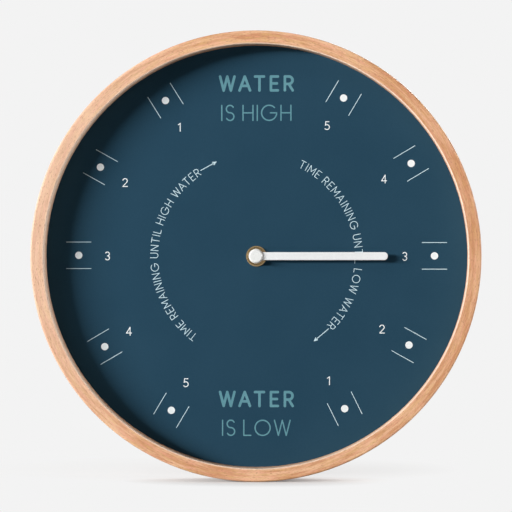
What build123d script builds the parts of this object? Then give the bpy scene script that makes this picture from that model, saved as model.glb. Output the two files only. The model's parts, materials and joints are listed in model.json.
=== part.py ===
from build123d import *
import math
import os

# A wall-hung tide clock. The dial faces -Y, +Z is up, +X is to the right of someone who reads it.
# The hand turns on the Y axis, and the origin lies on it, midway through the depth of the case.
# Lengths are in millimetres and angles in degrees.

# Case
case_diameter = 300.0
case_depth = 45.0
hoop_front_width = 8.8
hoop_rear_wall = 5.5
hoop_outer_round = 1.2
hoop_inner_round = 0.8
hoop_rear_bevel = 1.0
dial_thickness = 4.0
dial_clearance = 0.3

# Back of the case
board_thickness = 4.0
board_inset = 2.5
movement_inset = 2.5
board_clearance = 0.3
aperture_gap = 1.0
aperture_round = 3.0
block_width = 46.0
block_thickness = 15.0
block_angles = (45.0, 135.0, 225.0, 315.0)
glue_gap = 0.1
keyhole_height = 104.0
keyhole_entry_radius = 4.5
keyhole_slot_radius = 2.3
keyhole_slot_rise = 9.0

# Back board screws
screw_radius = 1.6
screw_head_radius = 3.3
screw_head_depth = 1.8
screw_block_share = 0.6
screw_tip = 3.0
screw_recess_width = 0.8
screw_recess_depth = 1.0
screw_recess_span = 3.4
screw_clearance = 0.2
screw_bite = 0.03

# Spindle stack on the dial
bush_radius = 3.95
bush_flange_radius = 6.2
bush_flange_thickness = 0.8
bush_proud = 0.4
bush_clearance = 0.15
cushion_radius = 12.0
cushion_thickness = 1.0
washer_radius = 6.85
washer_thickness = 0.6
nut_radius = 6.0
nut_height = 2.4
nut_bevel = 0.7
nut_slot_width = 1.6
nut_slot_depth = 1.1
spindle_radius = 2.5
spindle_proud = 0.4
seat_radius = 2.0
seat_length = 2.3

# Hand
hand_length = 88.0
hand_width = 5.3
hand_thickness = 0.6
hand_tip_round = 2.4
hand_hub_radius = 4.6
hand_neck_round = 1.2
hand_edge_bevel = 0.15
collet_radius = 3.2
collet_height = 1.7
collet_spigot_radius = 2.6
collet_gap = 0.1
cap_radius = 4.8
cap_height = 1.6
cap_bevel = 0.9
cap_pin_radius = 1.0
cap_pin_length = 1.6

# Fits
press_gap = 0.02
running_gap = 0.05
wheel_gap = 0.4
cut_overrun = 1.0

# Dry cell
cell_diameter = 14.5
cell_length = 50.5
cell_shoulder_bevel = 0.7
cell_nub_radius = 2.75
cell_nub_height = 1.2
cell_end_radius = 5.2
cell_end_inset = 0.3
cell_clearance = 0.25

# Movement case
case_wall = 1.0
case_floor = 1.6
case_corner_round = 2.0
bay_floor = 0.6
bay_rear_gap = 0.4
partition_wall = 1.0
tide_wheel_room = 3.2
bay_finger_radius = 8.0
contact_thickness = 0.3
contact_gap = 0.05
contact_width = 8.0
contact_neck_width = 2.0
spring_room = 2.85
cover_thickness = 1.2
cover_clearance = 0.15
corner_post_radius = 2.2
pivot_hole_depth = 1.1

# Tooth form, shared by every wheel
pressure_angle = 25.0
addendum_share = 0.8
dedendum_share = 1.05
backlash_share = 0.2

# Motion work, which turns the hand once for 12.42 turns of the centre arbor
motion_module = 0.36
cannon_leaves = 12
intermediate_teeth = 40
intermediate_leaves = 11
tide_teeth = 41
intermediate_angle = 40.0

# Going train, which turns the rotor 1800 times for one turn of the centre arbor
going_module = 0.2
centre_teeth = 80
third_leaves = 10
third_teeth = 75
fourth_leaves = 10
fourth_teeth = 60
fifth_leaves = 10
fifth_teeth = 50
rotor_leaves = 10
third_angle = 165.0
fourth_angle = 95.0
fifth_angle = 35.0
rotor_angle = 15.0

# Arbors and layers of the train
wheel_thickness = 0.9
layer_gap = 0.5
pinion_overhang = 0.15
pivot_radius = 0.4
arbor_radius = 0.55
centre_arbor_radius = 0.75
knob_arbor_radius = 0.9
bridge_thickness = 1.2
bridge_margin = 0.6
bridge_side_gap = 2.0
bridge_round = 2.0
bridge_post_radius = 1.6
pivot_end_gap = 0.2

# Stepping motor
magnet_radius = 2.5
magnet_thickness = 1.4
magnet_hub_radius = 1.0
air_gap = 0.4
stator_thickness = 1.0
stator_margin = 1.0
stator_half_span = 15.0
stator_leg_width = 4.0
core_width = 2.0
bobbin_flange_radius = 2.8
bobbin_flange_thickness = 0.8
bobbin_tube_radius = 1.7
bobbin_end_gap = 0.8
winding_depth = 0.9
coil_gap = 0.5
rotor_boss_radius = 1.2
rotor_boss_gap = 0.3

# Circuit
circuit_thickness = 0.8
circuit_width = 46.0
circuit_height = 7.6
chip_width = 5.0
chip_height = 4.0
chip_thickness = 1.3
chip_offset = -6.0
crystal_radius = 1.0
crystal_length = 6.0
crystal_offset = 8.0
tab_width = 3.0
tab_reach = 5.0
tab_notch_gap = 0.4

# Setting knob
knob_radius = 5.6
knob_thickness = 2.0
knob_gap = 0.3
knob_flutes = 20
knob_flute_radius = 0.45
knob_edge_bevel = 0.3

# Depths of the case, from the wall forward: the movement sets how far in front of it the dial lies
case_radius = case_diameter / 2
bore_radius = case_radius - hoop_rear_wall
mouth_radius = case_radius - hoop_front_width
hoop_front = -case_depth / 2
hoop_back = case_depth / 2
board_back = hoop_back - board_inset
board_front = board_back - board_thickness
bay_radius = cell_diameter / 2 + cell_clearance
movement_back = board_back - movement_inset
movement_front = movement_back - bay_floor - 2 * bay_radius - bay_rear_gap
dial_back = movement_front - cushion_thickness
dial_front = dial_back - dial_thickness
screw_front = board_front - screw_block_share * (board_front - dial_back)

# Depths of the spindle stack
washer_front = dial_front - washer_thickness
nut_front = washer_front - nut_height
bush_front = nut_front - bush_proud
spindle_shoulder = bush_front - spindle_proud
seat_front = spindle_shoulder - seat_length
collet_back = spindle_shoulder - collet_gap
hand_back = collet_back - collet_height
hand_front = hand_back - hand_thickness
cap_front = hand_front - cap_height

# Depths of the movement
floor_back = movement_front + case_floor
cover_front = movement_back - cover_thickness
cell_depth = movement_front + bay_floor + bay_radius
layer_count = 6


def layer_front(number):
    return floor_back + wheel_gap + number * (wheel_thickness + layer_gap)


bridge_front = layer_front(layer_count)
bridge_back = bridge_front + bridge_thickness
stator_back = bridge_back + stator_thickness
core_front = bridge_back - stator_thickness
coil_depth = bridge_back - stator_thickness / 2
circuit_back = bridge_back + circuit_thickness


def polar(origin, distance, angle):
    turn = math.radians(angle)
    return (origin[0] + distance * math.cos(turn), origin[1] + distance * math.sin(turn))


def gear_distance(module, teeth, other_teeth):
    return module * (teeth + other_teeth) / 2


def tip_radius(module, teeth):
    return module * (teeth / 2 + addendum_share)


# Arbor places across the movement, as (x, z)
centre_axis = (0, 0)
intermediate_axis = polar(
    centre_axis,
    gear_distance(motion_module, cannon_leaves, intermediate_teeth),
    intermediate_angle,
)
third_axis = polar(
    centre_axis, gear_distance(going_module, centre_teeth, third_leaves), third_angle
)
fourth_axis = polar(
    third_axis, gear_distance(going_module, third_teeth, fourth_leaves), fourth_angle
)
fifth_axis = polar(
    fourth_axis, gear_distance(going_module, fourth_teeth, fifth_leaves), fifth_angle
)
rotor_axis = polar(
    fifth_axis, gear_distance(going_module, fifth_teeth, rotor_leaves), rotor_angle
)
train_axes = (third_axis, fourth_axis, fifth_axis)

# Outline of the movement, from the cell below to the coil above
stator_hole_radius = magnet_radius + air_gap
bridge_top = rotor_axis[1] + stator_hole_radius + stator_margin
coil_height = bridge_top + coil_gap + bobbin_flange_radius
movement_top = coil_height + bobbin_flange_radius + coil_gap + case_wall
compartment_bottom = -tip_radius(motion_module, tide_teeth) - tide_wheel_room
bay_top = compartment_bottom - partition_wall
cell_height = bay_top - bay_radius
movement_bottom = cell_height - bay_radius - case_wall
bay_half_length = (cell_length + contact_thickness + contact_gap + spring_room) / 2
movement_width = 2 * (bay_half_length + case_wall)
movement_height = movement_top - movement_bottom
movement_middle = (movement_top + movement_bottom) / 2
compartment_half_width = movement_width / 2 - case_wall
compartment_top = movement_top - case_wall
cell_nub_end = bay_half_length - contact_thickness - contact_gap
cell_flat_end = cell_nub_end - cell_length
bridge_bottom = compartment_bottom + bridge_margin
bridge_half_width = compartment_half_width - bridge_side_gap
circuit_middle = bridge_bottom + bridge_margin + circuit_height / 2
bridge_posts = [
    (side * (bridge_half_width - bridge_post_radius), height)
    for side in (-1, 1)
    for height in (bridge_bottom + bridge_post_radius, bridge_top - bridge_post_radius)
]


def prism(outline, front, back):
    return extrude(Plane.XZ.offset(-back) * outline, back - front)


def rod(radius, front, back, axis=centre_axis):
    return prism(Pos(*axis) * Circle(radius), front, back)


def block(left, right, front, back, bottom, top):
    middle = Pos((left + right) / 2, (bottom + top) / 2)
    return prism(middle * Rectangle(right - left, top - bottom), front, back)


def spun(points):
    return revolve(make_face(Polyline(*points, close=True)), Axis.Y)


def corner(profile, place):
    return profile.vertices().sort_by_distance(place)[0]


# Toothed wheels


def involute(angle):
    return math.tan(angle) - angle


def tooth_half_angle(radius, module, teeth):
    pitch_radius = module * teeth / 2
    base_radius = pitch_radius * math.cos(math.radians(pressure_angle))
    half_thickness = module * (math.pi / 2 - backlash_share / 2) / 2
    flank_angle = math.acos(min(1, base_radius / radius))
    pitch_flank = math.radians(pressure_angle)
    return half_thickness / pitch_radius + involute(pitch_flank) - involute(flank_angle)


def flank_radii(module, teeth):
    # A wheel has straight flanks, and a pinion follows the involute above its base circle.
    pitch_radius = module * teeth / 2
    base_radius = pitch_radius * math.cos(math.radians(pressure_angle))
    root_radius = pitch_radius - dedendum_share * module
    outer_radius = tip_radius(module, teeth)
    if root_radius >= base_radius:
        return (root_radius, outer_radius)
    return (root_radius, base_radius, pitch_radius, outer_radius)


def toothed_outline(module, teeth, turn):
    radii = flank_radii(module, teeth)
    points = []
    for tooth in range(teeth):
        middle = math.radians(turn) + 2 * math.pi * tooth / teeth
        rising = [(r, middle - tooth_half_angle(r, module, teeth)) for r in radii]
        falling = [(r, middle + tooth_half_angle(r, module, teeth)) for r in reversed(radii)]
        points += [(r * math.cos(a), r * math.sin(a)) for r, a in rising + falling]
    return make_face(Polyline(*points, close=True))


def meshed_turn(teeth, turn, direction, other_teeth):
    # The turn that puts a gap of the other wheel on this wheel's tooth, along the line of centres.
    return direction + 180 - teeth / other_teeth * (turn - direction) + 180 / other_teeth


def wheel(module, teeth, turn, layer, axis):
    front = layer_front(layer)
    outline = Pos(*axis) * toothed_outline(module, teeth, turn)
    return prism(outline, front, front + wheel_thickness)


def pinion(module, leaves, turn, layer, axis):
    front = layer_front(layer) - pinion_overhang
    back = layer_front(layer) + wheel_thickness + pinion_overhang
    return prism(Pos(*axis) * toothed_outline(module, leaves, turn), front, back)


# Case pieces


def rim_hoop():
    profile = make_face(
        Polyline(
            (case_radius, hoop_front),
            (case_radius, hoop_back),
            (bore_radius, hoop_back),
            (bore_radius, dial_front),
            (mouth_radius, dial_front),
            (mouth_radius, hoop_front),
            close=True,
        )
    )
    profile = fillet(corner(profile, (case_radius, hoop_front)), hoop_outer_round)
    profile = fillet(corner(profile, (mouth_radius, hoop_front)), hoop_inner_round)
    profile = chamfer(corner(profile, (case_radius, hoop_back)), hoop_rear_bevel)
    return revolve(profile, Axis.Y)


def dial_board():
    outline = Circle(bore_radius - dial_clearance) - Circle(bush_radius + bush_clearance)
    return prism(outline, dial_front, dial_back)


screw_circle = bore_radius - block_thickness / 2


def glue_blocks():
    strip = Pos(0, bore_radius) * Rectangle(block_width, 2 * block_thickness)
    outline = strip & Circle(bore_radius - glue_gap)
    blocks = Part()
    for angle in block_angles:
        piece = prism(Rot(0, 0, angle) * outline, dial_back, board_front)
        place = polar(centre_axis, screw_circle, angle + 90)
        pilot = rod(screw_radius + screw_bite, screw_front, board_front + cut_overrun, place)
        blocks += piece - pilot
    return blocks


def keyhole_outline():
    entry = Pos(0, keyhole_height) * Circle(keyhole_entry_radius)
    slot_middle = Pos(0, keyhole_height + keyhole_slot_rise / 2)
    slot = Rectangle(2 * keyhole_slot_radius, keyhole_slot_rise)
    slot_end = Pos(0, keyhole_height + keyhole_slot_rise) * Circle(keyhole_slot_radius)
    return entry + slot_middle * slot + slot_end


def back_board():
    aperture = RectangleRounded(
        movement_width + 2 * aperture_gap, movement_height + 2 * aperture_gap, aperture_round
    )
    outline = Circle(bore_radius - board_clearance) - Pos(0, movement_middle) * aperture
    board = prism(outline - keyhole_outline(), board_front, board_back)
    sink = spun(
        [
            (0, board_back),
            (screw_head_radius + screw_clearance, board_back),
            (screw_radius + screw_clearance, board_back - screw_head_depth),
            (screw_radius + screw_clearance, board_front),
            (0, board_front),
        ]
    )
    for angle in block_angles:
        x, z = polar(centre_axis, screw_circle, angle + 90)
        board -= Pos(x, 0, z) * sink
    return board


def board_screws():
    body = spun(
        [
            (0, board_back),
            (screw_head_radius, board_back),
            (screw_radius, board_back - screw_head_depth),
            (screw_radius, screw_front + screw_tip),
            (0, screw_front),
        ]
    )
    bar = Rectangle(screw_recess_span, screw_recess_width)
    cross = bar + Rot(0, 0, 90) * bar
    body -= prism(cross, board_back - screw_recess_depth, board_back + cut_overrun)
    screws = Part()
    for angle in block_angles:
        x, z = polar(centre_axis, screw_circle, angle + 90)
        screws += Pos(x, 0, z) * body
    return screws


# Spindle stack and hand


def cushion_washer():
    outline = Circle(cushion_radius) - Circle(bush_radius + bush_clearance)
    return prism(outline, dial_back, movement_front)


def threaded_bush():
    body = rod(bush_radius, bush_front, floor_back)
    flange = rod(bush_flange_radius, floor_back - bush_flange_thickness, floor_back)
    bearing = spindle_radius + running_gap
    return body + flange - rod(bearing, bush_front - cut_overrun, floor_back + cut_overrun)


def brass_washer():
    outline = Circle(washer_radius) - Circle(bush_radius + press_gap)
    return prism(outline, washer_front, dial_front)


def round_nut():
    body = spun(
        [
            (bush_radius + press_gap, washer_front),
            (nut_radius, washer_front),
            (nut_radius, nut_front + nut_bevel),
            (nut_radius - nut_bevel, nut_front),
            (bush_radius + press_gap, nut_front),
        ]
    )
    slots = Rectangle(2 * (nut_radius + cut_overrun), nut_slot_width)
    slots -= Circle(nut_radius - nut_slot_depth)
    return body - prism(slots, nut_front - cut_overrun, washer_front)


def hand_collet():
    body = rod(collet_radius, hand_back, collet_back)
    spigot = rod(collet_spigot_radius, hand_front, hand_back)
    grip = seat_radius + press_gap
    return body + spigot - rod(grip, hand_front - cut_overrun, collet_back + cut_overrun)


def tide_hand():
    arm = Pos(hand_length / 2, 0) * Rectangle(hand_length, hand_width)
    tip = arm.vertices().sort_by(Axis.X)[-2:]
    arm = fillet(tip, hand_tip_round)
    outline = Circle(hand_hub_radius) + arm
    neck = outline.vertices().group_by(Axis.X)[0]
    outline = fillet(neck, hand_neck_round)
    outline -= Circle(collet_spigot_radius + press_gap)
    plate = prism(outline, hand_front, hand_back)
    edges = plate.faces().sort_by(Axis.Y)[0].outer_wire().edges()
    return chamfer(edges, hand_edge_bevel)


def hand_cap():
    return spun(
        [
            (0, cap_front),
            (cap_radius - cap_bevel, cap_front),
            (cap_radius, cap_front + cap_bevel),
            (cap_radius, hand_front),
            (cap_pin_radius, hand_front),
            (cap_pin_radius, hand_front + cap_pin_length),
            (0, hand_front + cap_pin_length),
        ]
    )


# Movement housing


def bay_cut():
    span = 2 * bay_half_length
    round_floor = Pos(0, cell_depth, cell_height) * Rot(0, 90, 0) * Cylinder(bay_radius, span)
    mouth = block(
        -bay_half_length,
        bay_half_length,
        cell_depth,
        movement_back + cut_overrun,
        cell_height - bay_radius,
        bay_top,
    )
    return round_floor + mouth


def movement_outline():
    return Pos(0, movement_middle) * RectangleRounded(movement_width, movement_height, case_corner_round)


def compartment_outline():
    middle = Pos(0, (compartment_top + compartment_bottom) / 2)
    return middle * Rectangle(2 * compartment_half_width, compartment_top - compartment_bottom)


def movement_case():
    body = prism(movement_outline(), movement_front, movement_back)
    body -= prism(compartment_outline(), floor_back, movement_back + cut_overrun)
    body -= bay_cut()
    finger_place = (0, movement_bottom)
    body -= rod(bay_finger_radius, cell_depth, movement_back + cut_overrun, finger_place)
    for x, z in bridge_posts:
        body += rod(bridge_post_radius, floor_back, bridge_front, (x, z))
    for side in (-1, 1):
        for height in (compartment_bottom, compartment_top):
            post = Pos(side * compartment_half_width, height) * Circle(corner_post_radius)
            body += prism(post & compartment_outline(), floor_back, cover_front)
        wall_side = side * compartment_half_width
        notch_side = wall_side - side * (contact_thickness + tab_notch_gap)
        body -= block(
            min(wall_side, notch_side),
            max(wall_side, notch_side),
            circuit_back - tab_notch_gap,
            movement_back + cut_overrun,
            bay_top - cut_overrun,
            compartment_bottom + corner_post_radius + tab_notch_gap,
        )
    flange_hole = bush_flange_radius + press_gap
    body -= rod(flange_hole, floor_back - bush_flange_thickness, floor_back + cut_overrun)
    body -= rod(bush_radius + press_gap, movement_front - cut_overrun, floor_back)
    for axis in (*train_axes, intermediate_axis, rotor_axis):
        hole_front = floor_back - pivot_hole_depth
        body -= rod(pivot_radius + running_gap, hole_front, floor_back + cut_overrun, axis)
    return body


def movement_cover():
    inset = cover_clearance
    plate = block(
        inset - compartment_half_width,
        compartment_half_width - inset,
        cover_front,
        movement_back,
        compartment_bottom + inset,
        compartment_top - inset,
    )
    knob_hole = knob_arbor_radius + running_gap
    plate -= rod(
        knob_hole, cover_front - cut_overrun, movement_back + cut_overrun, intermediate_axis
    )
    boss_front = rotor_magnet_back + rotor_boss_gap
    plate += rod(rotor_boss_radius, boss_front, cover_front, rotor_axis)
    pivot_hole = pivot_radius + running_gap
    return plate - rod(pivot_hole, boss_front, rotor_pivot_back + pivot_end_gap, rotor_axis)


rotor_magnet_front = bridge_back - (magnet_thickness - stator_thickness) / 2
rotor_magnet_back = rotor_magnet_front + magnet_thickness
rotor_pivot_back = cover_front + pivot_end_gap


def train_bridge():
    width = 2 * bridge_half_width
    height = bridge_top - bridge_bottom
    outline = Pos(0, (bridge_top + bridge_bottom) / 2) * RectangleRounded(width, height, bridge_round)
    outline -= Pos(*rotor_axis) * Circle(stator_hole_radius)
    outline -= Pos(*intermediate_axis) * Circle(knob_arbor_radius + running_gap)
    for axis in (centre_axis, *train_axes):
        outline -= Pos(*axis) * Circle(pivot_radius + running_gap)
    return prism(outline, bridge_front, bridge_back)


# Wheels and arbors

cannon_turn = 0.0
intermediate_turn = meshed_turn(cannon_leaves, cannon_turn, intermediate_angle, intermediate_teeth)
tide_turn = meshed_turn(intermediate_leaves, 0, intermediate_angle + 180, tide_teeth)
pivot_front = floor_back - pivot_hole_depth + pivot_end_gap


def tide_wheel():
    body = wheel(motion_module, tide_teeth, tide_turn, 0, centre_axis)
    body += rod(spindle_radius, spindle_shoulder, layer_front(0))
    body += rod(seat_radius, seat_front, spindle_shoulder)
    pin_hole_back = hand_front + cap_pin_length + press_gap
    body -= rod(cap_pin_radius + press_gap, seat_front - cut_overrun, pin_hole_back)
    bearing = centre_arbor_radius + running_gap
    return body - rod(bearing, movement_front, layer_front(1))


def intermediate_wheel():
    axis = intermediate_axis
    body = wheel(motion_module, intermediate_teeth, intermediate_turn, 1, axis)
    body += pinion(motion_module, intermediate_leaves, 0, 0, axis)
    body += rod(pivot_radius, pivot_front, layer_front(0), axis)
    body += rod(knob_arbor_radius, layer_front(0), movement_back + knob_gap + knob_thickness / 2, axis)
    return body


def cannon_pinion():
    leaves = pinion(motion_module, cannon_leaves, cannon_turn, 1, centre_axis)
    return leaves - rod(centre_arbor_radius + running_gap, layer_front(0), layer_front(2))


def centre_wheel():
    body = wheel(going_module, centre_teeth, 0, 2, centre_axis)
    body += rod(centre_arbor_radius, movement_front + pivot_end_gap, bridge_front - pivot_end_gap)
    return body + rod(pivot_radius, bridge_front - pivot_end_gap, bridge_back)


def train_wheel(teeth, leaves, leaf_turn, pinion_layer, axis):
    body = wheel(going_module, teeth, 0, pinion_layer + 1, axis)
    body += pinion(going_module, leaves, leaf_turn, pinion_layer, axis)
    body += rod(arbor_radius, floor_back + pivot_end_gap, bridge_front - pivot_end_gap, axis)
    return body + rod(pivot_radius, pivot_front, bridge_back, axis)


def third_wheel():
    turn = meshed_turn(centre_teeth, 0, third_angle, third_leaves)
    return train_wheel(third_teeth, third_leaves, turn, 2, third_axis)


def fourth_wheel():
    turn = meshed_turn(third_teeth, 0, fourth_angle, fourth_leaves)
    return train_wheel(fourth_teeth, fourth_leaves, turn, 3, fourth_axis)


def fifth_wheel():
    turn = meshed_turn(fourth_teeth, 0, fifth_angle, fifth_leaves)
    return train_wheel(fifth_teeth, fifth_leaves, turn, 4, fifth_axis)


def rotor_arbor():
    turn = meshed_turn(fifth_teeth, 0, rotor_angle, rotor_leaves)
    body = pinion(going_module, rotor_leaves, turn, 5, rotor_axis)
    body += rod(arbor_radius, floor_back + pivot_end_gap, rotor_magnet_front, rotor_axis)
    body += rod(magnet_hub_radius, rotor_magnet_front - pinion_overhang, rotor_magnet_back, rotor_axis)
    return body + rod(pivot_radius, pivot_front, rotor_pivot_back, rotor_axis)


def rotor_magnet():
    outline = Circle(magnet_radius) - Circle(magnet_hub_radius + press_gap)
    return prism(Pos(*rotor_axis) * outline, rotor_magnet_front, rotor_magnet_back)


# Motor and circuit

stator_left = rotor_axis[0] - stator_half_span
stator_right = rotor_axis[0] + stator_half_span
core_top = coil_height + core_width / 2
core_bottom = coil_height - core_width / 2


def stator():
    x, z = rotor_axis
    half_band = stator_hole_radius + stator_margin
    band = Pos(x, z) * Rectangle(2 * stator_half_span, 2 * half_band)
    leg_height = core_top - (z - half_band)
    leg = Rectangle(stator_leg_width, leg_height)
    leg_middle = z - half_band + leg_height / 2
    left = Pos(stator_left + stator_leg_width / 2, leg_middle) * leg
    right = Pos(stator_right - stator_leg_width / 2, leg_middle) * leg
    outline = band + left + right - Pos(x, z) * Circle(stator_hole_radius)
    return prism(outline, bridge_back, stator_back)


def coil_core():
    return block(stator_left, stator_right, core_front, bridge_back, core_bottom, core_top)


bobbin_left = stator_left + stator_leg_width + bobbin_end_gap
bobbin_right = stator_right - stator_leg_width - bobbin_end_gap


def spool(radius, left, right):
    middle = Pos((left + right) / 2, coil_depth, coil_height)
    return middle * Rot(0, 90, 0) * Cylinder(radius, right - left)


def coil_bobbin():
    body = spool(bobbin_tube_radius, bobbin_left, bobbin_right)
    body += spool(bobbin_flange_radius, bobbin_left, bobbin_left + bobbin_flange_thickness)
    body += spool(bobbin_flange_radius, bobbin_right - bobbin_flange_thickness, bobbin_right)
    return body - block(
        bobbin_left - cut_overrun,
        bobbin_right + cut_overrun,
        core_front - press_gap,
        bridge_back + press_gap,
        core_bottom - press_gap,
        core_top + press_gap,
    )


def coil_winding():
    left = bobbin_left + bobbin_flange_thickness
    right = bobbin_right - bobbin_flange_thickness
    body = spool(bobbin_tube_radius + winding_depth, left, right)
    return body - spool(bobbin_tube_radius + press_gap, left - cut_overrun, right + cut_overrun)


def circuit_board():
    outline = Pos(0, circuit_middle) * Rectangle(circuit_width, circuit_height)
    return prism(outline, bridge_back, circuit_back)


def timing_chip():
    outline = Pos(chip_offset, circuit_middle) * Rectangle(chip_width, chip_height)
    return prism(outline, circuit_back, circuit_back + chip_thickness)


def quartz_crystal():
    middle = Pos(crystal_offset, circuit_back + crystal_radius, circuit_middle)
    return middle * Rot(0, 90, 0) * Cylinder(crystal_radius, crystal_length)


def contact_strip(side):
    # The strip lines the end wall of the bay, climbs past the partition and turns in over the circuit.
    wall = side * bay_half_length
    face = wall - side * contact_thickness
    left, right = min(wall, face), max(wall, face)
    half_width = contact_width / 2
    neck_back = circuit_back + contact_neck_width
    tab_top = circuit_middle + tab_width / 2
    leaf_bottom = cell_height - half_width
    leaf_top = cell_height + half_width
    strip = block(left, right, cell_depth - half_width, neck_back, leaf_bottom, leaf_top)
    strip += block(left, right, circuit_back, neck_back, leaf_top, tab_top)
    tab_end = side * (circuit_width / 2) - side * tab_reach
    strip += block(
        min(tab_end, face),
        max(tab_end, face),
        circuit_back,
        circuit_back + contact_thickness,
        circuit_middle - tab_width / 2,
        tab_top,
    )
    return strip


def positive_contact():
    return contact_strip(1)


def negative_contact():
    half_width = contact_width / 2
    wall = -bay_half_length + contact_thickness
    crown = cell_flat_end - contact_gap - contact_thickness / 2
    foot = wall - contact_thickness / 2
    bow = ThreePointArc(
        (foot, cell_depth - half_width + contact_thickness),
        (crown, cell_depth),
        (foot, cell_depth + half_width - contact_thickness),
    )
    ribbon = trace(bow, contact_thickness)
    spring = extrude(Pos(0, 0, cell_height - half_width / 2) * ribbon, half_width)
    return contact_strip(-1) + spring


def battery_cell():
    radius = cell_diameter / 2
    shoulder = cell_length - cell_nub_height
    profile = make_face(
        Polyline(
            (0, cell_end_inset),
            (cell_end_radius, cell_end_inset),
            (cell_end_radius, 0),
            (radius, 0),
            (radius, shoulder),
            (cell_nub_radius, shoulder),
            (cell_nub_radius, cell_length),
            (0, cell_length),
            close=True,
        )
    )
    profile = chamfer(corner(profile, (radius, 0)), cell_shoulder_bevel)
    profile = chamfer(corner(profile, (radius, shoulder)), cell_shoulder_bevel)
    upright = revolve(profile, Axis.Y)
    return Pos(cell_flat_end, cell_depth, cell_height) * Rot(0, 0, -90) * upright


def setting_knob():
    front = movement_back + knob_gap
    back = front + knob_thickness
    x, z = intermediate_axis
    body = spun(
        [
            (0, front),
            (knob_radius, front),
            (knob_radius, back - knob_edge_bevel),
            (knob_radius - knob_edge_bevel, back),
            (0, back),
        ]
    )
    for flute in range(knob_flutes):
        place = polar(centre_axis, knob_radius, 360 * flute / knob_flutes)
        body -= rod(knob_flute_radius, front - cut_overrun, back + cut_overrun, place)
    body -= rod(knob_arbor_radius + press_gap, front - cut_overrun, front + knob_thickness / 2)
    return Pos(x, 0, z) * body


pieces = (
    rim_hoop,
    dial_board,
    glue_blocks,
    back_board,
    board_screws,
    cushion_washer,
    threaded_bush,
    brass_washer,
    round_nut,
    hand_collet,
    tide_hand,
    hand_cap,
    movement_case,
    movement_cover,
    train_bridge,
    tide_wheel,
    intermediate_wheel,
    cannon_pinion,
    centre_wheel,
    third_wheel,
    fourth_wheel,
    fifth_wheel,
    rotor_arbor,
    rotor_magnet,
    stator,
    coil_core,
    coil_bobbin,
    coil_winding,
    circuit_board,
    timing_chip,
    quartz_crystal,
    positive_contact,
    negative_contact,
    battery_cell,
    setting_knob,
)

os.makedirs("parts", exist_ok=True)
for piece in pieces:
    export_step(piece(), "parts/" + piece.__name__ + ".step")
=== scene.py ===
import json
import math

import bpy
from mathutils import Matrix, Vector


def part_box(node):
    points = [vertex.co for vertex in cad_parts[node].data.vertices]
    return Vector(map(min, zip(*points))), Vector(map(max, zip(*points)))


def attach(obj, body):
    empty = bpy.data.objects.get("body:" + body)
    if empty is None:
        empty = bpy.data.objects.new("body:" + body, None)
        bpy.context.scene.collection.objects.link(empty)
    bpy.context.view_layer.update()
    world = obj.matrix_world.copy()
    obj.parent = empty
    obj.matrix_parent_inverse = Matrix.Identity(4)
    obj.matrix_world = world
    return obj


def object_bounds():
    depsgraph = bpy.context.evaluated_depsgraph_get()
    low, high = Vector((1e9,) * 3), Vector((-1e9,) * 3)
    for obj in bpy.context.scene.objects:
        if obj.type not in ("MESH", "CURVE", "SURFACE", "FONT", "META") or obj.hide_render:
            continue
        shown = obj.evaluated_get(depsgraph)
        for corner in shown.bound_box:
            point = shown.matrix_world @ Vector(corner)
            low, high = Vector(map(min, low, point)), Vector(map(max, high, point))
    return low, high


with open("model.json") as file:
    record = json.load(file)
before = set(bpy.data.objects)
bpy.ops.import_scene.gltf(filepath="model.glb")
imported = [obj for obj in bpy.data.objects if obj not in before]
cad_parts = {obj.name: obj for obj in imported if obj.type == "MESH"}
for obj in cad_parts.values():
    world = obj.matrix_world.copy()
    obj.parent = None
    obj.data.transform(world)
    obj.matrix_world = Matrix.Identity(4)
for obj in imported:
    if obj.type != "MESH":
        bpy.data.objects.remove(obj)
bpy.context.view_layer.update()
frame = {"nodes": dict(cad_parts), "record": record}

print("tide clock: frame loaded,", len(frame["nodes"]), "nodes")

scene = bpy.context.scene
scene.view_settings.view_transform = "Standard"

noiseSpan = (0.3, 0.7)  # most of a noise pattern lies between these


def paint(red, green, blue):  # screen colour 0-255 to the shader's linear colour
    def channel(value):
        share = value / 255
        return share / 12.92 if share <= 0.04045 else ((share + 0.055) / 1.055) ** 2.4
    return (channel(red), channel(green), channel(blue), 1.0)


def addNode(material, kind, settings=None, inputs=None):
    made = material.node_tree.nodes.new(kind)
    for key, value in (settings or {}).items():
        setattr(made, key, value)
    for key, value in (inputs or {}).items():
        if isinstance(value, bpy.types.NodeSocket):
            material.node_tree.links.new(value, made.inputs[key])
        else:
            made.inputs[key].default_value = value
    return made


def maths(material, operation, first, second=0.0):
    return addNode(material, "ShaderNodeMath", {"operation": operation}, {0: first, 1: second}).outputs[0]


def vectorMaths(material, operation, inputs):
    return addNode(material, "ShaderNodeVectorMath", {"operation": operation}, inputs).outputs


def splitUp(material, vector):
    return addNode(material, "ShaderNodeSeparateXYZ", None, {0: vector}).outputs


def between(material, value, low, high, fromLow, fromHigh):
    made = addNode(material, "ShaderNodeMapRange", {"clamp": True}, {
        "Value": value, "From Min": fromLow, "From Max": fromHigh, "To Min": low, "To Max": high})
    return made.outputs["Result"]


def mixed(material, first, second, share):  # the first pattern by its share, the second by the rest
    return maths(material, "ADD", maths(material, "MULTIPLY", first, share),
                 maths(material, "MULTIPLY", second, 1 - share))


def blendPaint(material, share, first, second):  # sockets 6 and 7 take the colours, 2 gives the blend
    made = addNode(material, "ShaderNodeMix", {"data_type": "RGBA"}, {0: share, 6: first, 7: second})
    return made.outputs[2]


def newFinish(name):
    material = bpy.data.materials.new(name)
    material.use_nodes = True
    return material


def shaderOf(material):
    return material.node_tree.nodes["Principled BSDF"]


def join(material, output, socket):
    material.node_tree.links.new(output, shaderOf(material).inputs[socket])


def place(material):
    return addNode(material, "ShaderNodeTexCoord").outputs["Object"]


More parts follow.
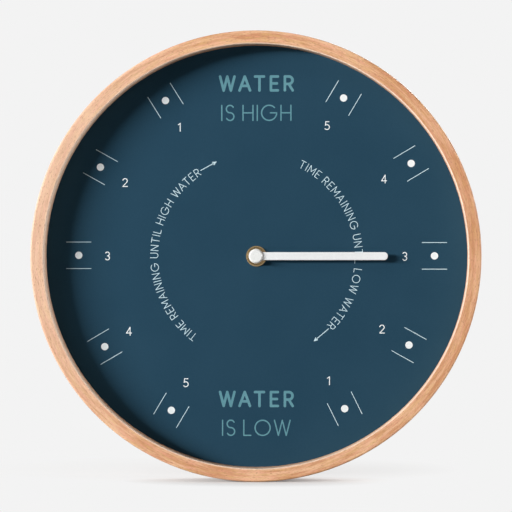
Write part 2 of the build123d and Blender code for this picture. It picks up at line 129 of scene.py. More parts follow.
def noise(material, vector, scale, detail=2.0, roughness=0.5):
    made = addNode(material, "ShaderNodeTexNoise", None, {
        "Vector": vector, "Scale": scale, "Detail": detail, "Roughness": roughness})
    return made.outputs["Fac"]


def bumped(material, height, strength, distance):
    made = addNode(material, "ShaderNodeBump", None, {
        "Height": height, "Strength": strength, "Distance": distance})
    join(material, made.outputs["Normal"], "Normal")


def lookAt(spot, aim):
    return (Vector(aim) - Vector(spot)).to_track_quat("-Z", "Y").to_euler()


# Camera, almost straight in front of the dial

cameraPlan = {"place": (0.078, -2.0220, -0.012), "aim": (0.0005, -0.0225, 0.0), "lens": 211.9,
              "nearest": 0.05}

bpy.ops.object.select_all(action="DESELECT")
bpy.ops.object.camera_add(location=cameraPlan["place"])
scene.camera = bpy.context.object
scene.camera.rotation_euler = lookAt(cameraPlan["place"], cameraPlan["aim"])
scene.camera.data.lens = cameraPlan["lens"]
scene.camera.data.clip_start = cameraPlan["nearest"]
print("camera set")

# Floor, background and lamps

studio = {
    "pale": paint(243, 243, 243), "ambient": 0.024,
    "floorSize": 8.0, "floorDrop": 0.0002, "floorSeen": 0.9, "floorBounce": 0.35,
    "contact": {"centre": (0.0, -0.005, 0.0), "reach": (0.092, 0.062, 1.0), "full": 0.2, "depth": 0.85},
    "behind": {"centre": (-0.03, 0.12, 0.0), "reach": (0.17, 0.15, 1.0), "full": 0.3, "depth": 0.4},
    "lampAim": (0.0, 0.0, 0.0),
    "lamps": {
        "key_lamp": {"spot": (-4.12, -2.85, 0.88), "size": (2.7, 0.35), "power": 360.0},
        "top_lamp": {"spot": (-1.9, -2.2, 2.7), "size": (1.2, 1.2), "power": 20.0},
        "side_lamp": {"spot": (3.0, -0.22, 0.05), "size": (0.3, 1.6), "power": 95.0},
        "rear_lamp": {"spot": (1.6, 3.2, 2.2), "size": (2.4, 2.4), "power": 150.0},
    },
}


def cameraOnly(material):  # one where the background is seen directly, in metal or through glass
    path = addNode(material, "ShaderNodeLightPath").outputs
    seen = maths(material, "MAXIMUM", path["Is Camera Ray"], path["Is Glossy Ray"])
    return maths(material, "MAXIMUM", seen, path["Is Transmission Ray"])


def setWorld():
    world = bpy.data.worlds.new("studioSky")
    world.use_nodes = True
    scene.world = world
    sky = world.node_tree.nodes["Background"]
    pale = studio["pale"][0]
    strength = between(world, cameraOnly(world), studio["ambient"], pale, 0.0, 1.0)
    sky.inputs["Color"].default_value = (1, 1, 1, 1)
    world.node_tree.links.new(strength, sky.inputs["Strength"])


def shadowPatch(material, spot, plan):  # share of the floor's own shading that shows, fading to the edge
    moved = vectorMaths(material, "SUBTRACT", {0: spot, 1: plan["centre"]})["Vector"]
    scaled = vectorMaths(material, "DIVIDE", {0: moved, 1: plan["reach"]})["Vector"]
    away = vectorMaths(material, "LENGTH", {0: scaled})["Value"]
    return between(material, away, plan["depth"], 0.0, plan["full"], 1.0)


def setFloor():
    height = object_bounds()[0][2] - studio["floorDrop"]
    bpy.ops.mesh.primitive_plane_add(size=studio["floorSize"], location=(0, 0, height))
    floor = bpy.context.object
    floor.name = "studio_floor"
    material = newFinish("paleFloor")
    tree = material.node_tree
    tree.nodes.remove(shaderOf(material))
    seen = cameraOnly(material)
    tone = between(material, seen, studio["floorBounce"], studio["floorSeen"], 0.0, 1.0)
    dull = addNode(material, "ShaderNodeBsdfDiffuse", None, {"Color": tone})
    glow = addNode(material, "ShaderNodeEmission", None, {"Color": studio["pale"]})
    spot = place(material)
    shaded = [shadowPatch(material, spot, studio[patch]) for patch in ("contact", "behind")]
    lit = maths(material, "SUBTRACT", 1.0, maths(material, "MAXIMUM", *shaded))
    both = addNode(material, "ShaderNodeMixShader", None, {
        0: maths(material, "MULTIPLY", seen, lit), 1: dull.outputs[0], 2: glow.outputs[0]})
    tree.links.new(both.outputs[0], tree.nodes["Material Output"].inputs["Surface"])
    floor.data.materials.append(material)


def addLamp(name, plan):
    bpy.ops.object.light_add(type="AREA", location=plan["spot"])
    lamp = bpy.context.object
    lamp.name = name
    lamp.data.shape = "RECTANGLE"
    lamp.data.size, lamp.data.size_y = plan["size"]
    lamp.data.energy = plan["power"]
    lamp.rotation_euler = lookAt(plan["spot"], studio["lampAim"])


setWorld()
setFloor()
for lampName, lampPlan in studio["lamps"].items():
    addLamp(lampName, lampPlan)
print("studio set")

# Beech of the hoop: the grain runs round it, so the pattern is laid on radius, depth and direction

beech = {
    "pale": paint(241, 193, 154), "dark": paint(202, 142, 99), "toneSpan": (0.42, 0.58), "streakShare": 0.6,
    "streak": {"along": 5.0, "across": 420.0, "detail": 3.0},
    "fibre": {"along": 26.0, "across": 2600.0, "detail": 2.0},
    "fleck": {"along": 75.0, "across": 3600.0, "detail": 1.0},
    "hue": {"along": 16.0, "across": 900.0, "detail": 2.0},
    "honey": paint(226, 180, 122), "honeySpan": (0.5, 0.64),
    "rosy": paint(232, 164, 134), "rosySpan": (0.36, 0.5), "hueShare": 0.5,
    "fleckTone": paint(152, 95, 60), "fleckSpan": (0.58, 0.70), "fleckDepth": 0.7,
    "rough": (0.42, 0.58), "bump": (0.25, 0.00012), "shine": 0.35,
}
# Painted highlight on the left of the hoop and painted shade on its right, laid by direction round the ring
paintedSideLight = {
    "paintedHighlightLeft": {"tone": paint(243, 211, 188), "share": 0.46,
                "towards": (-0.985, 0.0, 0.17), "span": (0.4, 1.0)},
    "paintedShadeRight": {"tone": paint(204, 136, 97), "share": 0.3,
                  "towards": (0.97, 0.0, 0.24), "span": (0.5, 1.0)},
}
# Painted highlight: a pale tone on the inner edge and inner wall of the hoop's mouth, standing in for the
# lit wall
paintedLitEdge = {"tone": paint(253, 232, 212), "share": 0.65, "mouth": 0.1412,
            "width": (0.0003, 0.0010), "depth": (0.003, 0.015)}


def roundNoise(material, radial, pattern):
    direction, radius, depth = radial
    across = pattern["across"]
    stretched = vectorMaths(material, "SCALE", {0: direction, "Scale": pattern["along"]})["Vector"]
    split = splitUp(material, stretched)
    vector = addNode(material, "ShaderNodeCombineXYZ", None, {
        0: split["X"], 1: split["Z"], 2: maths(material, "MULTIPLY", radius, across)}).outputs[0]
    made = addNode(material, "ShaderNodeTexNoise", {"noise_dimensions": "4D"}, {
        "Vector": vector, "W": maths(material, "MULTIPLY", depth, across), "Scale": 1.0,
        "Detail": pattern["detail"]})
    return made.outputs["Fac"]


def beechFinish():
    material = newFinish("bentBeech")
    split = splitUp(material, place(material))
    flat = addNode(material, "ShaderNodeCombineXYZ", None, {0: split["X"], 2: split["Z"]}).outputs[0]
    direction = vectorMaths(material, "NORMALIZE", {0: flat})["Vector"]
    radius = vectorMaths(material, "LENGTH", {0: flat})["Value"]
    radial = (direction, radius, split["Y"])
    streak, fibre, fleck, hue = [
        roundNoise(material, radial, beech[pattern]) for pattern in ("streak", "fibre", "fleck", "hue")]
    tone = mixed(material, streak, fibre, beech["streakShare"])
    darker = between(material, tone, 0.0, 1.0, *beech["toneSpan"])
    wood = blendPaint(material, darker, beech["pale"], beech["dark"])
    honey = between(material, hue, 0.0, beech["hueShare"], *beech["honeySpan"])
    wood = blendPaint(material, honey, wood, beech["honey"])
    rosy = between(material, hue, beech["hueShare"], 0.0, *beech["rosySpan"])
    wood = blendPaint(material, rosy, wood, beech["rosy"])
    # painted highlight towards the left of the hoop and painted shade towards the right
    for plan in paintedSideLight.values():
        side = vectorMaths(material, "DOT_PRODUCT", {0: direction, 1: plan["towards"]})["Value"]
        share = between(material, side, 0.0, plan["share"], *plan["span"])
        wood = blendPaint(material, share, wood, plan["tone"])
    # painted highlight on the inner edge and inner wall of the mouth
    inner = [paintedLitEdge["mouth"] + width for width in paintedLitEdge["width"]]
    front = [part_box("rim_hoop")[0][1] + depth for depth in paintedLitEdge["depth"]]
    litEdgeShare = maths(material, "MULTIPLY", between(material, radius, paintedLitEdge["share"], 0.0, *inner),
                 between(material, split["Y"], 1.0, 0.0, *front))
    wood = blendPaint(material, litEdgeShare, wood, paintedLitEdge["tone"])
    mark = between(material, fleck, 0.0, beech["fleckDepth"], *beech["fleckSpan"])
    join(material, blendPaint(material, mark, wood, beech["fleckTone"]), "Base Color")
    join(material, between(material, fibre, *beech["rough"], *noiseSpan), "Roughness")
    bumped(material, maths(material, "SUBTRACT", fibre, mark), *beech["bump"])
    shaderOf(material).inputs["Specular IOR Level"].default_value = beech["shine"]
    return material


# Mouldings, metals, ink and the painted dial: two tones, a roughness range and a fine bump

finishes = {
    "printed_dial": {"tones": ((38, 69, 88), (42, 73, 92)), "scale": 900, "rough": (0.58, 0.68),
                     "bump": (0.05, 0.00002), "shine": 0.015},
    "white_hand": {"tones": ((233, 234, 234), (242, 243, 243)), "scale": 700, "rough": (0.3, 0.42),
                   "bump": (0.04, 0.00002)},
    "white_cap": {"tones": ((229, 230, 228), (238, 239, 236)), "scale": 900, "rough": (0.25, 0.34),
                  "bump": (0.03, 0.00002)},
    "black_moulding": {"tones": ((20, 20, 21), (32, 32, 33)), "scale": 2600, "rough": (0.48, 0.66),
                       "bump": (0.22, 0.00004)},
    "wheel_moulding": {"tones": ((226, 224, 214), (240, 238, 230)), "scale": 1600, "rough": (0.34, 0.5),
                       "bump": (0.06, 0.00002)},
    "bridge_moulding": {"tones": ((196, 198, 196), (214, 216, 214)), "scale": 1600, "rough": (0.4, 0.55),
                        "bump": (0.06, 0.00002)},
    "rubber": {"tones": ((24, 24, 24), (38, 37, 36)), "scale": 1800, "rough": (0.72, 0.9),
               "bump": (0.2, 0.00005)},
    "chip": {"tones": ((18, 18, 20), (30, 30, 32)), "scale": 2200, "rough": (0.55, 0.7),
             "bump": (0.12, 0.00003)},
    "brass": {"tones": ((140, 119, 84), (164, 142, 106)), "scale": 1500, "rough": (0.24, 0.4),
              "bump": (0.06, 0.00002), "metal": 1.0},
    "soft_iron": {"tones": ((140, 142, 146), (172, 174, 178)), "scale": 1200, "rough": (0.32, 0.5),
                  "bump": (0.08, 0.00002), "metal": 1.0},
    "magnet": {"tones": ((84, 84, 90), (112, 112, 118)), "scale": 1400, "rough": (0.36, 0.55),
               "bump": (0.1, 0.00003), "metal": 1.0},
    "plated_steel": {"tones": ((196, 197, 198), (220, 220, 220)), "scale": 1400, "rough": (0.18, 0.34),
                     "bump": (0.05, 0.00002), "metal": 1.0},
    "zinc_screw": {"tones": ((176, 178, 182), (206, 208, 210)), "scale": 1500, "rough": (0.26, 0.44),
                   "bump": (0.08, 0.00002), "metal": 1.0},
}
grain = {"fineDetail": 3.0, "broadDetail": 2.0, "broader": 40, "fineShare": 0.5, "toneSpan": (0.35, 0.65),
         "shine": 0.4}


def plainFinish(name, plan):
    material = newFinish(name + "Finish")
    spot = place(material)
    fine = noise(material, spot, plan["scale"], grain["fineDetail"])
    broad = noise(material, spot, plan["scale"] / grain["broader"], grain["broadDetail"])
    tone = mixed(material, fine, broad, grain["fineShare"])
    share = between(material, tone, 0.0, 1.0, *grain["toneSpan"])
    low, high = plan["tones"]
    join(material, blendPaint(material, share, paint(*low), paint(*high)), "Base Color")
    join(material, between(material, fine, *plan["rough"], *noiseSpan), "Roughness")
    bumped(material, fine, *plan["bump"])
    shaderOf(material).inputs["Metallic"].default_value = plan.get("metal", 0.0)
    shaderOf(material).inputs["Specular IOR Level"].default_value = plan.get("shine", grain["shine"])
    return material


# Boards and glue blocks of pressed or plain wood. Patterns have a scale, a detail and a roughness.

hardboard = {"pale": (172, 128, 88), "dark": (122, 84, 54), "toneSpan": (0.34, 0.68),
             "coarse": (600.0, 4.0, 0.65), "fine": (2600.0, 2.0, 0.5), "coarseShare": 0.65,
             "rough": (0.7, 0.88), "bump": (0.3, 0.00008)}
blocks = {"pale": (214, 182, 136), "dark": (182, 146, 100)}


def hardboardFinish(name, tones):
    material = newFinish(name)
    spot = place(material)
    coarse = noise(material, spot, *hardboard["coarse"])
    fine = noise(material, spot, *hardboard["fine"])
    tone = mixed(material, coarse, fine, hardboard["coarseShare"])
    share = between(material, tone, 0.0, 1.0, *hardboard["toneSpan"])
    join(material, blendPaint(material, share, paint(*tones["pale"]), paint(*tones["dark"])), "Base Color")
    join(material, between(material, fine, *hardboard["rough"], *noiseSpan), "Roughness")
    bumped(material, tone, *hardboard["bump"])
    return material


# Copper winding, circuit board and cell

winding = {"pale": (206, 122, 76), "dark": (120, 58, 34), "turns": 5200.0, "wander": 0.6,
           "rough": (0.5, 0.28), "bump": (0.5, 0.00005)}


def windingFinish():
    material = newFinish("copperWinding")
    made = addNode(material, "ShaderNodeTexWave", {"bands_direction": "X"}, {
        "Vector": place(material), "Scale": winding["turns"], "Distortion": winding["wander"]})
    turns = made.outputs["Fac"]
    copper = blendPaint(material, turns, paint(*winding["dark"]), paint(*winding["pale"]))
    join(material, copper, "Base Color")
    join(material, between(material, turns, *winding["rough"], 0.0, 1.0), "Roughness")
    bumped(material, turns, *winding["bump"])
    shaderOf(material).inputs["Metallic"].default_value = 1.0
    return material


circuit = {"mask": (26, 92, 62), "track": (44, 124, 86), "scale": 420.0, "trackSpan": (0.42, 0.5),
           "grain": 1800.0, "rough": (0.3, 0.45), "bump": (0.3, 0.00003)}


def circuitFinish():
    material = newFinish("circuitBoard")
    spot = place(material)
    lanes = addNode(material, "ShaderNodeTexVoronoi", {"distance": "MANHATTAN", "feature": "F1"}, {
        "Vector": spot, "Scale": circuit["scale"]}).outputs["Distance"]
    track = between(material, lanes, 0.0, 1.0, *circuit["trackSpan"])
    green = blendPaint(material, track, paint(*circuit["mask"]), paint(*circuit["track"]))
    join(material, green, "Base Color")
    fine = noise(material, spot, circuit["grain"])
    join(material, between(material, fine, *circuit["rough"], *noiseSpan), "Roughness")
    bumped(material, track, *circuit["bump"])
    return material


cell = {"sleeve": (52, 62, 70), "band": (198, 200, 202), "metal": (206, 206, 208), "bandSpan": (0.70, 0.702),
        "bareTop": (0.0022, 0.0020), "bareFoot": (0.0006, 0.0008),
        "grain": 1500.0, "rough": (0.26, 0.4), "bump": (0.05, 0.00002)}


def cellFinish():  # printed sleeve with a pale band at the raised end, and bare metal at both ends
    material = newFinish("dryCell")
    low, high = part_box("battery_cell")
    length = high[0] - low[0]
    spot = place(material)
    along = splitUp(material, spot)["X"]
    fine = noise(material, spot, cell["grain"])
    band = between(material, along, 0.0, 1.0, *[low[0] + length * share for share in cell["bandSpan"]])
    top = between(material, along, 0.0, 1.0, *[high[0] - inset for inset in cell["bareTop"]])
    foot = between(material, along, 1.0, 0.0, *[low[0] + inset for inset in cell["bareFoot"]])
    bare = maths(material, "MAXIMUM", top, foot)
    sleeve = blendPaint(material, band, paint(*cell["sleeve"]), paint(*cell["band"]))
    join(material, blendPaint(material, bare, sleeve, paint(*cell["metal"])), "Base Color")
    join(material, bare, "Metallic")
    join(material, between(material, fine, *cell["rough"], *noiseSpan), "Roughness")
    bumped(material, fine, *cell["bump"])
    return material


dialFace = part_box("dial_board")[0][1]
dialPaint = {"depth": 0.0015}


def bareBack(material):  # leaves the board bare behind the painted face
    painted = shaderOf(material).inputs["Base Color"].links[0].from_socket
    spot = place(material)
    fibre = noise(material, spot, *hardboard["coarse"])
    raw = blendPaint(material, fibre, paint(*hardboard["pale"]), paint(*hardboard["dark"]))
    bare = maths(material, "GREATER_THAN", splitUp(material, spot)["Y"], dialFace + dialPaint["depth"])
    join(material, blendPaint(material, bare, painted, raw), "Base Color")


slotFinish = {name: plainFinish(name, plan) for name, plan in finishes.items()}
bareBack(slotFinish["printed_dial"])
slotFinish["beech"] = beechFinish()
slotFinish["backing_board"] = hardboardFinish("backingBoard", hardboard)
slotFinish["block_wood"] = hardboardFinish("blockWood", blocks)
slotFinish["copper"] = windingFinish()
slotFinish["circuit"] = circuitFinish()
slotFinish["cell_sleeve"] = cellFinish()

for entry in frame["record"]["subparts"]:
    node = frame["nodes"][entry["node"]]
    node.data.materials.clear()
    node.data.materials.append(slotFinish[entry["material_slot"]])
print("finishes laid on", len(frame["nodes"]), "nodes")

# Printing on the dial, a thin raised layer of ink

ink = {"proud": 0.00005, "sunk": 0.00001, "scale": 1800, "rough": (0.55, 0.68), "bump": (0.04, 0.00001),
       "shine": 0.05}
inkTones = {
    "white": ((234, 241, 243), (246, 250, 250)),
    "mist": ((202, 230, 240), (214, 238, 246)),
    "teal": ((95, 146, 158), (105, 155, 166)),
}
inkFinish = {name: plainFinish(name + "Ink", dict(ink, tones=tones)) for name, tones in inkTones.items()}


def clockPoint(angle, radius):  # clock angle in degrees, clockwise from twelve
    turn = math.radians(angle)
    return (radius * math.sin(turn), radius * math.cos(turn))


def ringPoint(angle, radius):  # angle in degrees, anticlockwise from the right
    turn = math.radians(angle)
    return (radius * math.cos(turn), radius * math.sin(turn))


def selectOnly(parts):  # the first part is also made the active one
    bpy.ops.object.select_all(action="DESELECT")
    for part in parts:
        part.select_set(True)
    bpy.context.view_layer.objects.active = parts[0]


def toEdit(piece):
    selectOnly([piece])
    bpy.ops.object.mode_set(mode="EDIT")


def toObject():
    bpy.ops.object.mode_set(mode="OBJECT")


def applyPlace(piece):
    selectOnly([piece])
    bpy.ops.object.transform_apply(location=True, rotation=True, scale=True)


def joinParts(parts):
    selectOnly(parts)
    if len(parts) > 1:
        bpy.ops.object.join()
    return bpy.context.object


def layOnDial(piece, spot, angle=0.0):  # turns a flat drawing to face the reader, clockwise by the angle
    piece.rotation_mode = "XYZ"
    piece.rotation_euler = (math.radians(90), math.radians(angle), 0)
    piece.location = (spot[0], dialFace + ink["sunk"], spot[1])
    applyPlace(piece)


def raiseInk(piece, extra=0.0):  # gives a flat drawing its thickness, towards the reader
    thick = ink["proud"] + ink["sunk"] + extra
    toEdit(piece)
    bpy.ops.mesh.select_all(action="SELECT")
    bpy.ops.mesh.extrude_region_move(TRANSFORM_OT_translate={"value": (0, 0, thick)})
    bpy.ops.mesh.select_all(action="SELECT")
    bpy.ops.mesh.normals_make_consistent(inside=False)
    toObject()
    bpy.ops.object.shade_flat()


def joinPrint(parts, name, finish):
    whole = joinParts(parts)
    whole.name = name
    whole.data.materials.clear()
    whole.data.materials.append(finish)
    applyPlace(whole)
    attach(whole, "clock_case")


# Hour marks, each a dot between two bars with its digit nearer the hub. The print sits a little high on
# the board and its marks aren't quite evenly spaced. Places are a clock angle and a radius.

hourMarks = (
    {"digit": "5", "dot": (28.9, 0.1210), "figure": (28.5, 0.0995), "bars": 30.7},
    {"digit": "4", "dot": (59.1, 0.1208), "figure": (58.9, 0.0999), "bars": 59.2},
    {"digit": "3", "dot": (89.9, 0.1192), "figure": (90.1, 0.0993), "bars": 90.0},
    {"digit": "2", "dot": (120.2, 0.1182), "figure": (120.1, 0.0973), "bars": 119.0},
    {"digit": "1", "dot": (149.9, 0.1180), "figure": (149.9, 0.0964), "bars": 153.6},
    {"digit": "5", "dot": (208.9, 0.1181), "figure": (209.1, 0.0971), "bars": 210.8},
    {"digit": "4", "dot": (239.2, 0.1186), "figure": (239.5, 0.0993), "bars": 239.5},
    {"digit": "3", "dot": (270.3, 0.1194), "figure": (270.1, 0.1001), "bars": 270.0},
    {"digit": "2", "dot": (299.7, 0.1207), "figure": (299.3, 0.1011), "bars": 299.3},
    {"digit": "1", "dot": (329.7, 0.1210), "figure": (329.1, 0.1008), "bars": 328.0},
)
dots = {"radius": 0.00245, "sides": 40}
bars = {"length": 0.0168, "width": 0.00042, "apart": 0.0178}


def printDot(mark):
    bpy.ops.mesh.primitive_circle_add(vertices=dots["sides"], radius=dots["radius"], fill_type="NGON")
    dot = bpy.context.object
    raiseInk(dot)
    layOnDial(dot, clockPoint(*mark["dot"]))
    return dot


def printBar(length, width, spot, angle):
    bpy.ops.mesh.primitive_plane_add(size=1)
    bar = bpy.context.object
    bar.scale = (width, length, 1)
    applyPlace(bar)
    raiseInk(bar)
    layOnDial(bar, spot, angle)
    return bar


def printBars():
    parts = []
    for mark in hourMarks:
        x, z = clockPoint(*mark["dot"])
        for side in (-1, 1):
            dx, dz = clockPoint(mark["bars"] + 90, side * bars["apart"] / 2)
            parts.append(printBar(bars["length"], bars["width"], (x + dx, z + dz), mark["bars"]))
    return parts


# Lettering of even strokes with round ends. Strokes lie on a grid where a capital is one unit tall:
# a line runs from x, y to x, y, and an arc has its centre, its radius and two angles.

letters = {
    "A": {"wide": 0.76, "lines": ((0, 0, 0.38, 1), (0.38, 1, 0.76, 0), (0.13, 0.33, 0.63, 0.33))},
    "E": {"wide": 0.50, "lines": ((0, 0, 0, 1), (0, 1, 0.5, 1), (0, 0.5, 0.43, 0.5), (0, 0, 0.5, 0))},
    "G": {"wide": 1.00, "lines": ((0.58, 0.5, 1, 0.5),), "arcs": ((0.5, 0.5, 0.5, 45, 360),)},
    "H": {"wide": 0.66, "lines": ((0, 0, 0, 1), (0.66, 0, 0.66, 1), (0, 0.5, 0.66, 0.5))},
    "I": {"wide": 0.00, "lines": ((0, 0, 0, 1),)},
    "L": {"wide": 0.46, "lines": ((0, 0, 0, 1), (0, 0, 0.46, 0))},
    "M": {"wide": 0.80, "lines": ((0, 0, 0, 1), (0, 1, 0.4, 0.28), (0.4, 0.28, 0.8, 1), (0.8, 1, 0.8, 0))},
    "N": {"wide": 0.66, "lines": ((0, 0, 0, 1), (0, 1, 0.66, 0), (0.66, 0, 0.66, 1))},
    "O": {"wide": 1.00, "arcs": ((0.5, 0.5, 0.5, 0, 360),)},
    "R": {"wide": 0.56,
          "lines": ((0, 0, 0, 1), (0, 1, 0.28, 1), (0, 0.46, 0.28, 0.46), (0.28, 0.46, 0.56, 0)),
          "arcs": ((0.28, 0.73, 0.27, -90, 90),)},
    "S": {"wide": 0.52, "arcs": ((0.26, 0.755, 0.245, 30, 270), (0.26, 0.255, 0.255, -150, 90))},
    "T": {"wide": 0.64, "lines": ((0, 1, 0.64, 1), (0.32, 0, 0.32, 1))},
    "U": {"wide": 0.62, "lines": ((0, 0.31, 0, 1), (0.62, 0.31, 0.62, 1)),
          "arcs": ((0.31, 0.31, 0.31, 180, 360),)},
    "W": {"wide": 1.04,
          "lines": ((0, 1, 0.26, 0), (0.26, 0, 0.52, 1), (0.52, 1, 0.78, 0), (0.78, 0, 1.04, 1))},
    "1": {"wide": 0.24, "lines": ((0.24, 0, 0.24, 1), (0, 0.82, 0.24, 1))},
    "2": {"wide": 0.58, "lines": ((0.49, 0.54, 0, 0), (0, 0, 0.58, 0)),
          "arcs": ((0.28, 0.72, 0.28, -37.5, 165),)},
    "3": {"wide": 0.52, "arcs": ((0.26, 0.755, 0.245, -90, 150), (0.26, 0.255, 0.255, -150, 90))},
    "4": {"wide": 0.64, "lines": ((0.46, 0, 0.46, 1), (0.46, 1, 0, 0.28), (0, 0.28, 0.64, 0.28))},
    "5": {"wide": 0.55, "lines": ((0.1, 1, 0.5, 1), (0.1, 1, 0.045, 0.545)),
          "arcs": ((0.245, 0.31, 0.31, -142.5, 127.5),)},
}
pen = {"tipSides": 12, "arcSides": 48, "overlap": 0.000005}  # each stroke lies a hair over the last
setting = {"wordGap": 2.6, "tuck": {"WA": 0.12, "AT": 0.12}}  # in letter gaps, and in heights of a capital


def drawLine(x0, y0, x1, y1, width):  # a pen tip, its leading half pulled along the stroke
    halfSide = math.pi / pen["tipSides"]
    bpy.ops.mesh.primitive_circle_add(
        vertices=pen["tipSides"], radius=width / 2, fill_type="NGON", rotation=(0, 0, halfSide))
    stroke = bpy.context.object
    applyPlace(stroke)
    length = math.hypot(x1 - x0, y1 - y0)
    if length:
        toEdit(stroke)
        bpy.ops.mesh.select_all(action="DESELECT")
        toObject()
        for point in stroke.data.vertices:
            point.select = point.co.x > 0
        toEdit(stroke)
        bpy.ops.transform.translate(value=(length, 0, 0))
        toObject()
    stroke.rotation_euler = (0, 0, math.atan2(y1 - y0, x1 - x0))
    stroke.location = (x0, y0, 0)
    applyPlace(stroke)
    return stroke


def drawArc(x, y, radius, start, end, width):  # a full ring of faces, cut down to the arc, with round ends
    inner = radius - width / 2
    bpy.ops.mesh.primitive_circle_add(vertices=pen["arcSides"], radius=inner, fill_type="NOTHING")
    ring = bpy.context.object
    toEdit(ring)
    bpy.ops.mesh.select_all(action="SELECT")
    bpy.ops.mesh.extrude_edges_move(TRANSFORM_OT_translate={"value": (0, 0, 0)})
    grown = (radius + width / 2) / inner
    bpy.ops.transform.resize(value=(grown, grown, 1))
    bpy.ops.mesh.select_all(action="DESELECT")
    toObject()
    for face in ring.data.polygons:
        angle = math.degrees(math.atan2(face.center.y, face.center.x))
        face.select = not any(start < angle + turn < end for turn in (-360, 0, 360))
    toEdit(ring)
    bpy.ops.mesh.delete(type="FACE")
    toObject()
    ring.location = (x, y, 0)
    applyPlace(ring)
    parts = [ring]
    if end - start < 360:
        for dx, dy in (ringPoint(start, radius), ringPoint(end, radius)):
            parts.append(drawLine(x + dx, y + dy, x + dx, y + dy, width))
    return parts


def drawLetter(mark, style):  # left side and foot of the strokes at zero
    width = style["stroke"]
    grid = style["tall"] - width
    half = width / 2
    parts = []
    for line in letters[mark].get("lines", ()):
        parts.append(drawLine(*[half + value * grid for value in line], width))
    for x, y, radius, start, end in letters[mark].get("arcs", ()):
        parts += drawArc(half + x * grid, half + y * grid, radius * grid, start, end, width)
    for order, part in enumerate(parts):
        raiseInk(part, order * pen["overlap"])
    return joinParts(parts)


def letterWidth(mark, style):
    return letters[mark]["wide"] * (style["tall"] - style["stroke"]) + style["stroke"]


def printLetter(mark, style, spot, angle=0.0):
    drawn = drawLetter(mark, style)
    drawn.location = (-letterWidth(mark, style) / 2, -style["tall"] / 2, 0)
    applyPlace(drawn)
    layOnDial(drawn, spot, angle)
    return drawn


def setLine(words, style, gap):  # each letter with the place of its middle, and the line's length
    along = 0.0
    middles = []
    for before, mark in zip(" " + words, words):
        if mark == " ":
            along += gap * (setting["wordGap"] - 1)
            continue
        along -= setting["tuck"].get(before + mark, 0.0) * style["tall"]
        room = letterWidth(mark, style)
        middles.append((mark, along + room / 2))
        along += room + gap
    return middles, along - gap


def printWords(words, spot, style):
    middles, wide = setLine(words, style, style["gap"])
    left = spot[0] - wide / 2
    return [printLetter(mark, style, (left + middle, spot[1])) for mark, middle in middles]


digits = {"tall": 0.0059, "stroke": 0.00060, "gap": 0.0}


def printDigits():
    parts = []
    for mark in hourMarks:
        parts += printWords(mark["digit"], clockPoint(*mark["figure"]), digits)
    return parts


boldStyle = {"tall": 0.0111, "stroke": 0.0018, "gap": 0.0029}
thinStyle = {"tall": 0.0110, "stroke": 0.00090, "gap": 0.0020}
legends = (
    {"words": "WATER", "height": 0.1158, "style": boldStyle},
    {"words": "IS HIGH", "height": 0.0961, "style": thinStyle},
    {"words": "WATER", "height": -0.0957, "style": boldStyle},
    {"words": "IS LOW", "height": -0.1150, "style": thinStyle},
)


def printLegends():
    parts = []
    for line in legends:
        parts += printWords(line["words"], (0, line["height"]), line["style"])
    return parts


arcs = (
    {"words": "TIME REMAINING UNTIL HIGH WATER", "start": 216.7, "end": 326.0, "tip": 335.7},
    {"words": "TIME REMAINING UNTIL LOW WATER", "start": 25.3, "end": 134.2, "tip": 144.5},
)
arcStyle = {"radius": 0.0686, "tall": 0.0055, "stroke": 0.00043, "arrowGap": 0.8, "arrowWidth": 0.0005,
            "headLength": 0.0028, "headWidth": 0.0026}


def printArc(arc):
    radius = arcStyle["radius"]
    length = math.radians(arc["end"] - arc["start"]) * radius
    tight = setLine(arc["words"], arcStyle, 0.0)[1]
    loose = setLine(arc["words"], arcStyle, 1.0)[1]
    gap = (length - tight) / (loose - tight)  # the line fills the arc
    parts = []
    for mark, middle in setLine(arc["words"], arcStyle, gap)[0]:
        angle = arc["start"] + math.degrees(middle / radius)
        parts.append(printLetter(mark, arcStyle, clockPoint(angle, radius), angle))
    return parts + printArrow(arc)


def printArrow(arc):
    x0, z0 = clockPoint(arc["end"] + arcStyle["arrowGap"], arcStyle["radius"])
    x1, z1 = clockPoint(arc["tip"], arcStyle["radius"])
    length = math.hypot(x1 - x0, z1 - z0)
    angle = math.degrees(math.atan2(x1 - x0, z1 - z0))
    shaft = printBar(length, arcStyle["arrowWidth"], ((x0 + x1) / 2, (z0 + z1) / 2), angle)
    bpy.ops.mesh.primitive_circle_add(vertices=3, radius=1.0, fill_type="NGON")  # root 3 wide and 1.5 long
    head = bpy.context.object
    head.scale = (arcStyle["headWidth"] / math.sqrt(3), arcStyle["headLength"] / 1.5, 1)
    applyPlace(head)
    raiseInk(head)
    layOnDial(head, (x1, z1), angle)
    return [shaft, head]


# Signs moulded on the back of the movement: the way the knob is turned, and the ends of the cell

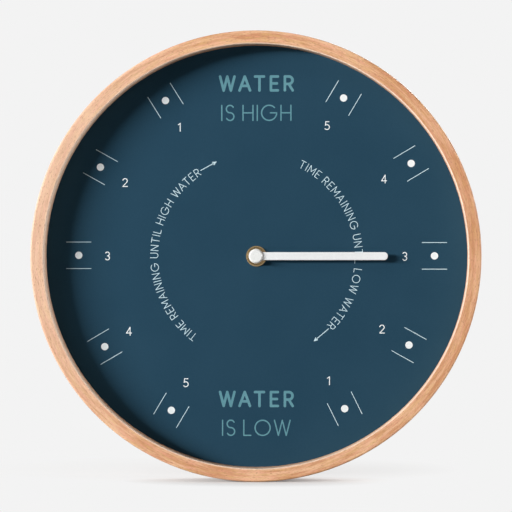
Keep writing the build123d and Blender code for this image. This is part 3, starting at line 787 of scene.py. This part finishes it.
signs = {"proud": 0.00025, "stroke": 0.0007, "arrowRadius": 0.0078, "arrowFrom": 30.0, "arrowTo": 150.0,
         "headSize": 0.0011, "poleSpan": 0.0026, "poleAside": 0.0205, "poleUp": 0.0026}


def layOnCover(piece, spot):  # turns a flat drawing to face someone behind the clock
    piece.rotation_mode = "XYZ"
    piece.rotation_euler = (math.radians(90), 0, math.radians(180))
    piece.location = (spot[0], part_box("movement_cover")[1][1] - ink["sunk"], spot[1])
    applyPlace(piece)


def turningArrow():
    low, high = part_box("setting_knob")
    centre = ((low[0] + high[0]) / 2, (low[2] + high[2]) / 2)
    parts = drawArc(0, 0, signs["arrowRadius"], signs["arrowFrom"], signs["arrowTo"], signs["stroke"])
    bpy.ops.mesh.primitive_circle_add(
        vertices=3, radius=signs["headSize"], fill_type="NGON",
        rotation=(0, 0, math.radians(signs["arrowFrom"]) + math.pi),
        location=(*ringPoint(signs["arrowFrom"], signs["arrowRadius"]), 0))
    parts.append(bpy.context.object)
    applyPlace(parts[-1])
    for order, part in enumerate(parts):
        raiseInk(part, signs["proud"] + order * pen["overlap"])
        layOnCover(part, centre)
    return parts


def poleSigns():  # a plus by one end of the cell and a minus by the other
    half = signs["poleSpan"] / 2
    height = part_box("movement_cover")[0][2] + signs["poleUp"]
    level = (-half, 0, half, 0)
    upright = (0, -half, 0, half)
    strokes = ((signs["poleAside"], level), (signs["poleAside"], upright), (-signs["poleAside"], level))
    parts = []
    for order, (aside, line) in enumerate(strokes):
        bar = drawLine(*line, signs["stroke"])
        raiseInk(bar, signs["proud"] + order * pen["overlap"])
        layOnCover(bar, (aside, height))
        parts.append(bar)
    return parts


printed = [printDot(mark) for mark in hourMarks] + printDigits()
joinPrint(printed, "dial_print_white", inkFinish["white"])
joinPrint(printLegends(), "dial_print_teal", inkFinish["teal"])
printed = printBars() + [part for arc in arcs for part in printArc(arc)]
joinPrint(printed, "dial_print_mist", inkFinish["mist"])
print("dial printed")
joinPrint(turningArrow() + poleSigns(), "movement_signs", slotFinish["black_moulding"])
print("signs moulded on the movement")
